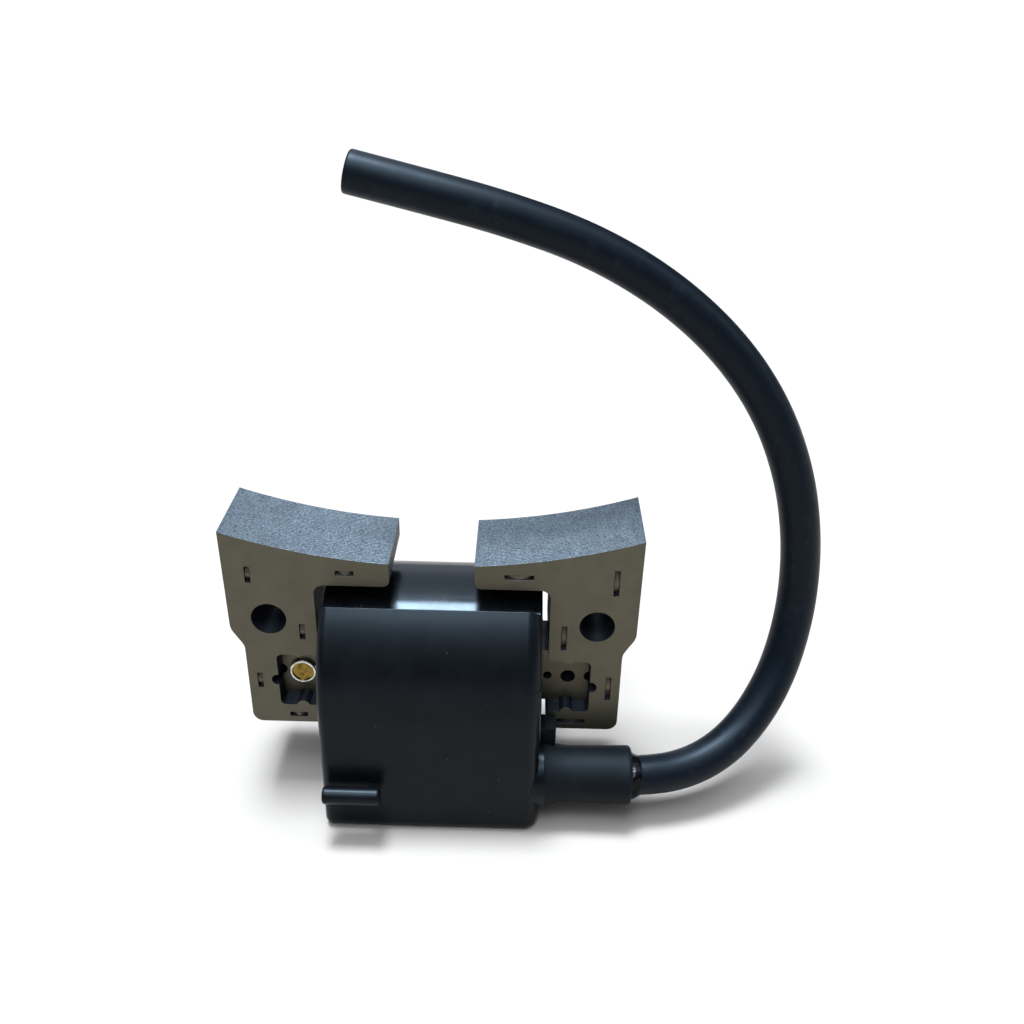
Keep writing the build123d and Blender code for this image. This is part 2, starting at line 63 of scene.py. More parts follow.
# ---- Nodes --------------------------------------------------------------------------
def math_node(tree: bpy.types.NodeTree, kind: str, *inputs: object) -> Socket:
    """Add a sum of sockets and numbers.

    Args:
        tree: Nodes of a material or of the room.
        kind: Kind of sum.
        inputs: Sockets or numbers.

    Returns:
        Value socket.
    """
    node = tree.nodes.new("ShaderNodeMath")
    node.operation = kind
    for socket, value in zip(node.inputs, inputs):
        if isinstance(value, Socket):
            tree.links.new(value, socket)
        else:
            socket.default_value = value
    return node.outputs["Value"]


def map_range(tree: bpy.types.NodeTree, value: Socket, start: Pair, to: Pair, kind: str = "LINEAR"
              ) -> Socket:
    """Map a range of a value to another range, and hold it at the ends.

    Args:
        tree: Nodes of a material or of the room.
        value: The value.
        start: The range it comes from.
        to: The new range.
        kind: How the value runs between the ends.

    Returns:
        Value socket.
    """
    node = tree.nodes.new("ShaderNodeMapRange")
    node.interpolation_type = kind
    tree.links.new(value, node.inputs["Value"])
    for key, limit in zip(("From Min", "From Max", "To Min", "To Max"), (*start, *to)):
        node.inputs[key].default_value = limit
    return node.outputs["Result"]


class Side(Enum):
    """Which of the two legs a piece belongs to."""

    LEFT = -1
    RIGHT = 1


class NodeBoard:
    """Small helper that lays out the nodes of one material."""

    def __init__(self, name: str) -> None:
        """Start a material with its shader.

        Args:
            name: Name of the material.
        """
        self.material = bpy.data.materials.new(name)
        self.material.use_nodes = True
        self.tree = self.material.node_tree
        self.shader = self.tree.nodes["Principled BSDF"]
        self._place = self.tree.nodes.new("ShaderNodeTexCoord").outputs["Object"]

    def set(self, **values: object) -> None:
        """Set sockets of the shader, with underscores for the spaces in their names.

        Args:
            values: Number or colour for each socket.
        """
        for key, value in values.items():
            if isinstance(value, tuple):
                value = (*value, 1.0)
            self.shader.inputs[key.replace("_", " ")].default_value = value

    def wire(self, source: Socket, socket: str) -> None:
        """Lead a value into a socket of the shader."""
        self.tree.links.new(source, self.shader.inputs[socket])

    def millimetres(self, stretch: Place = (1.0, 1.0, 1.0)) -> Socket:
        """Give the place on the part in millimetres.

        Args:
            stretch: Factor for each axis; less than one draws the pattern out.

        Returns:
            Vector socket.
        """
        node = self.tree.nodes.new("ShaderNodeMapping")
        node.inputs["Scale"].default_value = [factor / MM for factor in stretch]
        self.tree.links.new(self._place, node.inputs["Vector"])
        return node.outputs["Vector"]

    def past(self, axis: str, start: float, end: float, both: bool = False) -> Socket:
        """Fade from 0 to 1 between two places on an axis.

        Args:
            axis: X, Y or Z.
            start: Where the value is 0, in millimetres.
            end: Where it is 1.
            both: Count from the middle towards both sides.

        Returns:
            Value socket.
        """
        node = self.tree.nodes.new("ShaderNodeSeparateXYZ")
        self.tree.links.new(self.millimetres(), node.inputs["Vector"])
        place = node.outputs[axis]
        if both:
            place = math_node(self.tree, "ABSOLUTE", place)
        return self.ramp(place, start, end)

    def higher(self, first: Socket, second: Socket) -> Socket:
        """Give the higher of two values."""
        return math_node(self.tree, "MAXIMUM", first, second)

    def noise(self, size: float, stretch: Place = (1.0, 1.0, 1.0), detail: float = 3.0,
              rough: float = 0.55) -> Socket:
        """Cloudy pattern.

        Args:
            size: Size of its features in millimetres.
            stretch: Factor for each axis.
            detail: Number of finer octaves.
            rough: Strength of the finer octaves.

        Returns:
            Value socket from about 0.2 to 0.8.
        """
        node = self.tree.nodes.new("ShaderNodeTexNoise")
        self.tree.links.new(self.millimetres(stretch), node.inputs["Vector"])
        node.inputs["Scale"].default_value = 1.0 / size
        node.inputs["Detail"].default_value = detail
        node.inputs["Roughness"].default_value = rough
        return node.outputs["Fac"]

    def specks(self, spacing: float, size: float) -> Socket:
        """Sparse round specks.

        Args:
            spacing: Distance between specks in millimetres.
            size: Radius of a speck as a share of the spacing.

        Returns:
            Value socket, 1 in a speck and 0 elsewhere.
        """
        node = self.tree.nodes.new("ShaderNodeTexVoronoi")
        self.tree.links.new(self.millimetres(), node.inputs["Vector"])
        node.inputs["Scale"].default_value = 1.0 / spacing
        return self.ramp(node.outputs["Distance"], size, size * 0.5)

    def bands(self, pitch: float, axis: str) -> Socket:
        """Even bands across one axis, such as turns of wire.

        Args:
            pitch: Width of one band in millimetres.
            axis: X, Y or Z.

        Returns:
            Value socket.
        """
        node = self.tree.nodes.new("ShaderNodeTexWave")
        node.bands_direction = axis
        self.tree.links.new(self.millimetres(), node.inputs["Vector"])
        node.inputs["Scale"].default_value = math.pi / (10.0 * pitch)
        node.inputs["Distortion"].default_value = 0.4
        return node.outputs["Fac"]

    def ramp(self, value: Socket, low: float, high: float,
             to: Pair = (0.0, 1.0)) -> Socket:
        """Map a range of a value to another range, and hold it at the ends."""
        return map_range(self.tree, value, (low, high), to)

    def blend(self, factor: Socket, first: object, second: object) -> Socket:
        """Mix two colours.

        Args:
            factor: How much of the second.
            first: Colour or socket.
            second: Colour or socket.

        Returns:
            Colour socket.
        """
        node = self.tree.nodes.new("ShaderNodeMix")
        node.data_type = "RGBA"
        self.tree.links.new(factor, node.inputs["Factor"])
        for socket, value in zip((node.inputs[6], node.inputs[7]), (first, second)):
            if isinstance(value, tuple):
                socket.default_value = (*value, 1.0)
            else:
                self.tree.links.new(value, socket)
        return node.outputs[2]

    def bump(self, *layers: tuple[Socket, float]) -> None:
        """Raise the surface by patterns, each with its height in millimetres.

        Args:
            layers: Pattern and height of each.
        """
        normal = None
        for height, depth in layers:
            node = self.tree.nodes.new("ShaderNodeBump")
            node.inputs["Distance"].default_value = depth * MM
            self.tree.links.new(height, node.inputs["Height"])
            if normal is not None:
                self.tree.links.new(normal, node.inputs["Normal"])
            normal = node.outputs["Normal"]
        self.wire(normal, "Normal")


# ---- Finishes -----------------------------------------------------------------------
@dataclass(frozen=True)
class SheetSteel:
    """Flat face of a coated electrical sheet, olive grey with faint rolling lines."""

    name: str = "sheet_steel"
    base: Color = (0.098, 0.089, 0.062)
    stain: Color = (0.083, 0.075, 0.053)
    glint: Color = (0.132, 0.121, 0.088)

    def make(self) -> Material:
        """Make the material.

        Returns:
            The material.
        """
        board = NodeBoard(self.name)
        board.set(Metallic=0.8)
        cloud = board.ramp(board.noise(4.5, detail=4.0), 0.35, 0.7)
        grain = board.noise(0.16, detail=2.0)
        lines = board.noise(0.12, (0.04, 1.0, 1.0), 2.0)
        tone = board.blend(cloud, self.base, self.stain)
        tone = board.blend(board.ramp(grain, 0.3, 0.9, (0.0, 0.35)), tone, self.glint)
        board.wire(tone, "Base Color")
        board.wire(board.ramp(grain, 0.2, 0.8, (0.36, 0.50)), "Roughness")
        board.bump((grain, 0.006), (lines, 0.004))
        return board.material


@dataclass(frozen=True)
class GroundSteel:
    """Pole face as it leaves the grinder: short bright marks on every lamination."""

    name: str = "ground_steel"
    pitch: float = 0.5
    dark: Color = (0.040, 0.051, 0.063)
    bright: Color = (0.225, 0.256, 0.285)

    def make(self) -> Material:
        """Make the material.

        Returns:
            The material.
        """
        board = NodeBoard(self.name)
        board.set(Metallic=0.9)
        marks = board.noise(0.30, (0.9, 1.0, 1.0), 2.0, 0.7)
        coarse = board.noise(2.4, (1.0, 0.6, 1.0))
        tone = board.blend(board.ramp(marks, 0.34, 0.70), self.dark, self.bright)
        tone = board.blend(board.ramp(coarse, 0.3, 0.75, (0.0, 0.35)), tone, self.dark)
        board.wire(tone, "Base Color")
        board.wire(board.ramp(marks, 0.3, 0.7, (0.62, 0.42)), "Roughness")
        board.bump((marks, 0.03), (board.bands(self.pitch, "Y"), 0.012))
        return board.material


@dataclass(frozen=True)
class ShearedEdge:
    """Punched edge of the sheets: dull grey, with painted shade darkening it in a band across each leg that
    holds the holes and windows.
    """

    name: str = "sheared_edge"
    dark: Color = (0.050, 0.052, 0.055)
    light: Color = (0.140, 0.140, 0.136)
    # colour of the painted shade in the holes, windows and inner edges
    painted_shade: Color = (0.016, 0.020, 0.028)
    # distances from the middle, in millimetres, between which the edge gets the painted shade
    inner: Pair = (20.9, 33.8)
    fade: float = 0.3

    def make(self) -> Material:
        """Make the material.

        Returns:
            The material.
        """
        board = NodeBoard(self.name)
        board.set(Metallic=0.75)
        sheets = board.noise(0.7, (0.05, 1.0, 0.05), 1.0)
        grain = board.noise(0.18)
        tone = board.blend(board.ramp(sheets, 0.2, 0.8), self.dark, self.light)
        tone = board.blend(board.ramp(grain, 0.45, 0.9, (0.0, 0.5)), tone, self.dark)
        # mask of the painted shade: 1 outside the band, 0 inside it
        start, end = self.inner
        nearer = board.past("X", start, start - self.fade, True)
        farther = board.past("X", end, end + self.fade, True)
        outside = board.higher(nearer, farther)
        # painted shade inside the band, plain edge colour outside it
        board.wire(board.blend(outside, self.painted_shade, tone), "Base Color")
        board.wire(board.ramp(grain, 0.3, 0.7, (0.42, 0.6)), "Roughness")
        board.bump((grain, 0.015))
        return board.material


@dataclass(frozen=True)
class Moulding:
    """Black or coloured moulded plastic with tool marks, dust and a fine skin."""

    name: str
    base: Color
    worn: Color
    rough: Pair = (0.24, 0.36)
    level: float = 0.25
    tint: Color = (1.0, 1.0, 1.0)
    dust: Color = (0.11, 0.12, 0.14)
    speck_gap: float = 2.6
    speck_size: float = 0.06
    satin: tuple[tuple[str, float, float, float], ...] = ()

    def make(self) -> Material:
        """Make the material.

        Returns:
            The material.
        """
        board = NodeBoard(self.name)
        board.set(Specular_IOR_Level=self.level, Specular_Tint=self.tint)
        cloud = board.noise(5.0, detail=4.0)
        tool = board.noise(0.22, (0.03, 1.0, 1.0), 2.0)
        skin = board.noise(0.11, detail=1.0)
        patches = board.ramp(board.noise(3.4, detail=2.0), 0.52, 0.66)
        tone = board.blend(board.ramp(cloud, 0.35, 0.7), self.base, self.worn)
        dusty = math_node(board.tree, "MULTIPLY", board.specks(self.speck_gap, self.speck_size), patches)
        board.wire(board.blend(dusty, tone, self.dust), "Base Color")
        rough = board.ramp(cloud, 0.3, 0.75, self.rough)
        for axis, start, end, level in self.satin:
            rough = board.higher(rough, board.ramp(board.past(axis, start, end), 0.0, 1.0, (0.0, level)))
        board.wire(rough, "Roughness")
        board.bump((tool, 0.0030), (skin, 0.0012))
        return board.material


@dataclass(frozen=True)
class Rubber:
    """Satin jacket of the lead, with dull rubbed scuffs."""

    name: str = "lead_rubber"
    base: Color = (0.0022, 0.0036, 0.0060)
    rubbed: Color = (0.008, 0.011, 0.015)
    rough: Pair = (0.38, 0.48)
    level: float = 0.16
    tint: Color = (0.70, 0.86, 1.0)

    def make(self) -> Material:
        """Make the material.

        Returns:
            The material.
        """
        board = NodeBoard(self.name)
        board.set(Specular_IOR_Level=self.level, Specular_Tint=self.tint)
        scuffs = board.ramp(board.noise(2.2, detail=5.0, rough=0.7), 0.56, 0.72)
        grain = board.noise(0.13, detail=2.0)
        cloud = board.noise(7.0)
        board.wire(board.blend(scuffs, self.base, self.rubbed), "Base Color")
        board.wire(board.ramp(cloud, 0.3, 0.7, self.rough), "Roughness")
        board.bump((grain, 0.004), (scuffs, 0.006))
        return board.material


@dataclass(frozen=True)
class Glossy:
    """Resin or sealant that has set with a wet, slightly wavy skin."""

    name: str
    base: Color
    rough: float = 0.12
    wave: float = 0.03
    coat: float = 0.4
    level: float = 0.25

    def make(self) -> Material:
        """Make the material.

        Returns:
            The material.
        """
        board = NodeBoard(self.name)
        board.set(Coat_Weight=self.coat, Coat_Roughness=0.06, Specular_IOR_Level=self.level)
        swell = board.noise(1.6, detail=2.0)
        pores = board.specks(1.1, 0.09)
        lighter = tuple(2.2 * channel for channel in self.base)
        board.wire(board.blend(board.ramp(swell, 0.35, 0.7), self.base, lighter), "Base Color")
        board.wire(board.ramp(swell, 0.3, 0.7, (self.rough, self.rough + 0.14)), "Roughness")
        board.bump((swell, self.wave), (pores, 0.02))
        return board.material


@dataclass(frozen=True)
class BareMetal:
    """Brass, tin or copper with dull spots and fine scratches."""

    name: str
    base: Color
    tarnish: Color
    rough: Pair = (0.24, 0.44)
    turn_pitch: float = 0.0

    def make(self) -> Material:
        """Make the material; a pitch adds the turns of a winding.

        Returns:
            The material.
        """
        board = NodeBoard(self.name)
        board.set(Metallic=1.0)
        spots = board.ramp(board.noise(0.8, detail=4.0), 0.42, 0.68)
        scratch = board.noise(0.09, (0.08, 1.0, 1.0), 2.0)
        board.wire(board.blend(spots, self.base, self.tarnish), "Base Color")
        board.wire(board.ramp(spots, 0.0, 1.0, self.rough), "Roughness")
        layers = [(scratch, 0.004)]
        if self.turn_pitch:
            layers.append((board.bands(self.turn_pitch, "X"), self.turn_pitch / 3))
        board.bump(*layers)
        return board.material


@dataclass(frozen=True)
class Laminate:
    """Green board with the weave of its glass cloth showing faintly."""

    name: str = "board_laminate"
    base: Color = (0.012, 0.085, 0.035)
    thread: Color = (0.030, 0.140, 0.060)

    def make(self) -> Material:
        """Make the material.

        Returns:
            The material.
        """
        board = NodeBoard(self.name)
        warp = board.bands(0.5, "X")
        weft = board.bands(0.5, "Z")
        board.wire(board.blend(warp, self.base, board.blend(weft, self.base, self.thread)), "Base Color")
        board.wire(board.ramp(weft, 0.0, 1.0, (0.34, 0.46)), "Roughness")
        board.bump((warp, 0.01), (weft, 0.01))
        return board.material


# ---- Mesh help ----------------------------------------------------------------------
@dataclass
class MeshData:
    """Corners, faces and slot numbers that grow into one mesh."""

    points: list[Vector] = field(default_factory=list)
    faces: list[Quad] = field(default_factory=list)
    slots: list[int] = field(default_factory=list)

    def ring(self, points: Sequence[Vector]) -> list[int]:
        """Add a ring of points and return their numbers."""
        self.points.extend(points)
        return list(range(len(self.points) - len(points), len(self.points)))

    def strip(self, first: list[int], second: list[int], slots: Sequence[int] | int = 0) -> None:
        """Join two closed rings with four-sided faces.

        Args:
            first: Numbers of one ring.
            second: Numbers of the other, of the same length.
            slots: Material slot, or one for each face.
        """
        count = len(first)
        for i in range(count):
            j = (i + 1) % count
            self.faces.append((first[i], first[j], second[j], second[i]))
            self.slots.append(slots if isinstance(slots, int) else slots[i])

    def cap(self, ring: list[int], slot: int = 0) -> None:
        """Close a ring with one face."""
        self.faces.append(tuple(ring))
        self.slots.append(slot)

    def tube(self, rings: Sequence[list[int]]) -> None:
        """Join rings one after another and close both ends.

        Args:
            rings: Numbers of each ring, in order.
        """
        for first, second in zip(rings, rings[1:]):
            self.strip(first, second)
        self.cap(rings[0])
        self.cap(rings[-1])

    def build(self, name: str, materials: Sequence[Material], smooth_below: float = 32.0
              ) -> Piece:
        """Make the object, in metres from points in millimetres.

        Args:
            name: Name of the object.
            materials: Materials in the order of the slots.
            smooth_below: Edges that turn by less than this, in degrees, look round.

        Returns:
            The object, which rides on the coil's body.
        """
        mesh = bpy.data.meshes.new(name)
        mesh.from_pydata([point * MM for point in self.points], [], self.faces)
        for material in materials:
            mesh.materials.append(material)
        mesh.polygons.foreach_set("material_index", self.slots)
        work = bmesh.new()
        work.from_mesh(mesh)
        bmesh.ops.recalc_face_normals(work, faces=work.faces)
        work.to_mesh(mesh)
        work.free()
        mesh.shade_smooth()
        mesh.set_sharp_from_angle(angle=math.radians(smooth_below))
        obj = bpy.data.objects.new(name, mesh)
        bpy.context.scene.collection.objects.link(obj)
        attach(obj, "root")
        return obj


@dataclass(frozen=True)
class Corner:
    """Corner of an outline in X and Z, with its rounding."""

    x: float
    z: float
    radius: float = 0.0
    ground: bool = False


class Outline:
    """Closed line of corners and arcs in X and Z."""

    def __init__(self) -> None:
        """Start an empty outline."""
        self.corners: list[Corner] = []

    def to(self, x: float, z: float, radius: float = 0.0) -> "Outline":
        """Go straight to a corner and round it."""
        self.corners.append(Corner(x, z, radius))
        return self

    def arc(self, centre: Pair, radius: float, start: float, end: float, steps: int = 10
            ) -> "Outline":
        """Go round part of a circle.

        Args:
            centre: Its centre.
            radius: Its radius.
            start: First angle in degrees, from +X towards +Z.
            end: Last angle.
            steps: Number of straight pieces.

        Returns:
            This outline.
        """
        for i in range(steps + 1):
            angle = math.radians(start + (end - start) * i / steps)
            self.to(centre[0] + radius * math.cos(angle), centre[1] + radius * math.sin(angle))
        return self

    def along(self, height: Callable[[float], float], start: float, end: float, steps: int = 30
              ) -> "Outline":
        """Follow a ground curve.

        Args:
            height: Z for each X.
            start: First X.
            end: Last X.
            steps: Number of straight pieces.

        Returns:
            This outline.
        """
        for i in range(steps + 1):
            x = start + (end - start) * i / steps
            self.corners.append(Corner(x, height(x), 0.0, True))
        return self

    def points(self, side: Side = Side.RIGHT, inward: bool = False, steps: int = 6) -> list[Corner]:
        """Round the corners and give the finished loop.

        Args:
            side: The left leg is the mirror image of the right one.
            inward: True for the edge of a hole.
            steps: Pieces in each rounding.

        Returns:
            Corners in order, with the metal on their left.
        """
        loop: list[Corner] = []
        count = len(self.corners)
        for i, here in enumerate(self.corners):
            if here.radius <= 0:
                loop.append(here)
                continue
            at = Vector((here.x, here.z))
            before, after = self.corners[i - 1], self.corners[(i + 1) % count]
            back = (Vector((before.x, before.z)) - at).normalized()
            ahead = (Vector((after.x, after.z)) - at).normalized()
            half = back.angle(ahead) / 2
            reach = here.radius / math.tan(half)
            centre = at + (back + ahead).normalized() * (here.radius / math.sin(half))
            first = (at + back * reach - centre).normalized()
            last = (at + ahead * reach - centre).normalized()
            for step in range(steps + 1):
                spoke = centre + first.slerp(last, step / steps) * here.radius
                loop.append(Corner(spoke.x, spoke.y))
        loop = [Corner(side.value * c.x, c.z, 0.0, c.ground) for c in loop]
        area = sum(a.x * b.z - b.x * a.z for a, b in zip(loop, loop[1:] + loop[:1]))
        return loop if (area > 0) != inward else loop[::-1]


def circle(x: float, z: float, radius: float, steps: int = 40) -> Outline:
    """Outline of a round hole."""
    return Outline().arc((x, z), radius, 0.0, 360.0 * (steps - 1) / steps, steps - 1)


# ---- Laminated core -----------------------------------------------------------------
@dataclass
class SheetStack:
    """Stack of punched sheets, each a closed solid with broken edges."""

    front: float
    count: int
    pitch: float = 0.5
    gap: float = 0.02
    edge: float = 0.05
    ground_edge: float = 0.012
    data: MeshData = field(default_factory=MeshData)

    def lay(self, loops: Callable[[int], list[list[Corner]]]) -> MeshData:
        """Lay all the sheets.

        Args:
            loops: Gives the outer loop and the holes of each sheet by its number.

        Returns:
            The mesh so far; slot 0 is flat, 1 is ground, 2 is punched.
        """
        for number in range(self.count):
            self._sheet(self.front + number * self.pitch, loops(number))
        return self.data

    def _sheet(self, start: float, loops: list[list[Corner]]) -> None:
        """Add one sheet that starts at a depth.

        Args:
            start: The depth.
            loops: Outer loop and holes.
        """
        near, far = start + self.gap / 2, start + self.pitch - self.gap / 2
        caps: list[list[Vector]] = []
        fronts: list[int] = []
        backs: list[int] = []
        for loop in loops:
            inset = self._inset(loop)
            flat = [Vector((x, 0.0, z)) for x, z in inset]
            full = [Vector((corner.x, 0.0, corner.z)) for corner in loop]
            slots = [1 if a.ground and b.ground else 2 for a, b in zip(loop, loop[1:] + loop[:1])]
            layers = (flat, near), (full, near + self.edge), (full, far - self.edge), (flat, far)
            rings = [self.data.ring([point + Vector((0.0, depth, 0.0)) for point in points])
                     for points, depth in layers]
            for first, second in zip(rings, rings[1:]):
                self.data.strip(first, second, slots)
            caps.append(flat)
            fronts.extend(rings[0])
            backs.extend(rings[-1])
        for triangle in tessellate_polygon(caps):
            for numbers in (fronts, backs):
                self.data.faces.append(tuple(numbers[i] for i in triangle))
                self.data.slots.append(0)

    def _inset(self, loop: list[Corner]) -> list[Pair]:
        """Move each point of a loop a little into the metal.

        Args:
            loop: The loop.

        Returns:
            X and Z of each point.
        """
        result = []
        for before, here, after in zip(loop[-1:] + loop[:-1], loop, loop[1:] + loop[:1]):
            travel = Vector((after.x - before.x, after.z - before.z)).normalized()
            amount = self.ground_edge if here.ground else self.edge
            result.append((here.x - travel.y * amount, here.z + travel.x * amount))
        return result


@dataclass
class CoreLeg:
    """One leg of the core, with its pole shoe, holes, window, keys and interlocks."""

    side: Side
    sheets: int = 34
    depth: float = 17.0
    flywheel_radius: float = 120.0
    pole_height: float = 12.05
    shoe: Place = (7.6, 37.55, 7.5)
    knee: tuple[float, float, float, float] = (37.3, -2.4, 35.0, -6.2)
    bottom: float = -23.8
    slot_inner: float = 21.3
    window: Place = (29.3, -8.0, -19.6)
    screw_hole: Place = (30.0, 0.0, 3.2)
    lock_hole: Place = (29.5, -13.8, 1.1)
    lower_key: Place = (25.1, -19.95, 1.3)
    upper_key: Place = (25.2, -7.2, 1.3)
    interlocks: tuple[tuple[float, float, bool], ...] = (
        (15.6, 10.15, False), (33.0, 9.4, True), (24.05, -2.7, True), (32.8, -14.0, True),
        (26.1, -21.95, False),
    )
    knee_rounds: Pair = (3.5, 3.0)
    foot_round: float = 2.0
    tip_round: float = 0.5
    window_round: float = 1.0
    throat_rounds: Pair = (0.6, 1.8)
    shoe_round: float = 1.3
    slot_length: float = 5.25
    slot_width: float = 0.95
    slot_round: float = 0.12
    slot_sheets: int = 3
    strap_top: float = 0.12
    strap_drop: float = 1.0
    strap_curve: float = 1.6
    strap_thickness: float = 0.35
    strap_overlap: float = 0.06
    strap_clear: float = 0.03
    strap_edge: Pair = (0.05, 0.04)
    strap_steps: int = 18

    def build(self, finishes: Sequence[Material]) -> Piece:
        """Build the leg.

        Args:
            finishes: Flat, ground and punched steel.

        Returns:
            The leg's object.
        """
        name = f"core_leg_{self.side.name.lower()}"
        outer = self._outline().points(self.side)
        screw = circle(*self.screw_hole).points(self.side, True)
        slots = [self._slot(*place).points(self.side, True, 2) for place in self.interlocks]

        def loops(number: int) -> list[list[Corner]]:
            """Give the loops of one sheet; only the outer sheets are punched through."""
            open_slots = number < self.slot_sheets or number >= self.sheets - self.slot_sheets
            return [outer, screw] + (slots if open_slots else [])

        data = SheetStack(0.0, self.sheets).lay(loops)
        for x, z, turned in self.interlocks:
            for back in (False, True):
                self._strap(data, x, z, turned, back)
        leg = data.build(f"{name}_sheets", finishes)
        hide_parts(name)
        return leg

    def _pole(self, x: float) -> float:
        """Height of the pole face at a distance from the centre line."""
        rim = self.flywheel_radius
        return self.pole_height + rim - math.sqrt(rim ** 2 - x ** 2)

    def _outline(self) -> Outline:
        """Outline of the right leg.

        Returns:
            The outline.
        """
        inner, outer, underside = self.shoe
        x, top, low = self.window
        line = Outline().along(self._pole, inner, outer)
        upper_knee, lower_knee = self.knee_rounds
        line.to(self.knee[0], self.knee[1], upper_knee).to(self.knee[2], self.knee[3], lower_knee)
        line.to(self.knee[2], self.bottom, self.foot_round).to(self.slot_inner, self.bottom, self.tip_round)
        line.to(self.slot_inner, low, self.tip_round)
        self._key(line, self.lower_key, low, 180.0, 0.0)
        line.to(x, low, self.window_round)
        self._lock(line, x)
        line.to(x, top, self.window_round)
        self._key(line, self.upper_key, top, 0.0, -180.0)
        window_throat, shoe_throat = self.throat_rounds
        line.to(self.slot_inner, top, window_throat).to(self.slot_inner, underside, shoe_throat)
        return line.to(inner, underside, self.shoe_round)

    def _key(self, line: Outline, key: Place, edge: float, start: float, end: float) -> None:
        """Add the round key that stands into the window from one of its edges.

        Args:
            line: Outline of the leg.
            key: Its centre and radius.
            edge: Height of the edge.
            start: First angle in degrees, if the centre lay on the edge.
            end: Last angle.
        """
        x, z, radius = key
        dip = math.degrees(math.asin((edge - z) / radius))
        turn = -dip if end > -90.0 else dip
        line.arc((x, z), radius, start + turn, end - turn)

    def _lock(self, line: Outline, edge: float) -> None:
        """Add the half round hole in the outer edge of the window."""
        swing = math.degrees(math.acos((edge - self.lock_hole[0]) / self.lock_hole[2]))
        line.arc(self.lock_hole[:2], self.lock_hole[2], -swing, swing, 14)

    def _slot(self, x: float, z: float, turned: bool) -> Outline:
        """Outline of one interlock.

        Args:
            x: Its middle.
            z: Height of its middle.
            turned: True if it stands upright.

        Returns:
            The outline.
        """
        half_x, half_z = self.slot_length / 2, self.slot_width / 2
        if turned:
            half_x, half_z = half_z, half_x
        line = Outline()
        for sx, sz in ((-1, -1), (1, -1), (1, 1), (-1, 1)):
            line.to(x + sx * half_x, z + sz * half_z, self.slot_round)
        return line

    def _strap(self, data: MeshData, x: float, z: float, turned: bool, back: bool) -> None:
        """Add the bowed strap of one interlock, on the front or the back of the stack.

        Args:
            data: Mesh of the leg.
            x: Its middle.
            z: Height of its middle.
            turned: True if it stands upright.
            back: True for the back.
        """
        half = self.slot_length / 2 + self.strap_overlap
        w = self.slot_width / 2 - self.strap_clear
        across_edge, edge = self.strap_edge
        rings = []
        for i in range(self.strap_steps + 1):
            s = -half + 2 * half * i / self.strap_steps
            top = self.strap_top + self.strap_drop * abs(s / half) ** self.strap_curve
            low = top + self.strap_thickness
            inner = w - across_edge
            section = ((-w, top + edge), (-inner, top), (inner, top), (w, top + edge), (w, low), (-w, low))
            ring = []
            for across, depth in section:
                dx, dz = (across, s) if turned else (s, across)
                y = self.depth - depth if back else depth
                ring.append(Vector((self.side.value * (x + dx), y, z + dz)))
            rings.append(data.ring(ring))
        data.tube(rings)


@dataclass
class CoreBar:
    """Bar through the windings, with its notches and blind holes."""

    front: float = 3.5
    sheets: int = 20
    half_length: float = 29.3
    top: float = -8.0
    bottom: float = -19.6
    rounding: float = 1.05
    lower_notch: Place = (25.1, -19.95, 1.4)
    upper_notch: Place = (25.2, -7.2, 1.4)
    lock_hole: Place = (29.5, -13.8, 1.1)
    holes: tuple[Place, ...] = ((25.3, -13.9, 1.35), (-25.3, -13.9, 1.35), (21.4, -13.8, 0.8))
    hole_sheets: int = 10

    def build(self, finishes: Sequence[Material]) -> Piece:
        """Build the bar.

        Args:
            finishes: Flat, ground and punched steel.

        Returns:
            The bar's object.
        """
        outer = self._outline().points()
        holes = [circle(*hole, 28).points(inward=True) for hole in self.holes]
        data = SheetStack(self.front, self.sheets).lay(
            lambda number: [outer] + (holes if number < self.hole_sheets else []))
        bar = data.build("core_bar_sheets", finishes)
        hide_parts("core_bar")
        return bar

    def _outline(self) -> Outline:
        """Outline of the bar, once round.

        Returns:
            The outline.
        """
        line = Outline()
        for side in (1, -1):
            self._half(line, side)
        return line

    def _half(self, line: Outline, side: int) -> None:
        """Add one end of the bar: up the right end, or down the left one.

        Args:
            line: Outline of the bar.
            side: 1 for the right end, -1 for the left.
        """
        low, high = (self.bottom, self.lower_notch), (self.top, self.upper_notch)
        first, last = (low, high) if side > 0 else (high, low)
        self._notch(line, side, *first)
        line.to(side * self.half_length, first[0], self.rounding)
        x, z, radius = self.lock_hole
        swing = math.degrees(math.acos((x - self.half_length) / radius))
        turn = 180 if side > 0 else 0
        line.arc((side * x, z), radius, turn + swing, turn - swing, 8)
        line.to(side * self.half_length, last[0], self.rounding)
        self._notch(line, side, *last)

    def _notch(self, line: Outline, side: int, edge: float, notch: Place) -> None:
        """Add the round notch that clears a key.

        Args:
            line: Outline of the bar.
            side: 1 for the right end, -1 for the left.
            edge: Height of the edge.
            notch: Its centre and radius.
        """
        x, z, radius = notch
        dip = math.degrees(math.asin(abs(edge - z) / radius))
        turn = 180 if z < edge else 0
        line.arc((side * x, z), radius, turn - dip, turn - 180 + dip, 10)


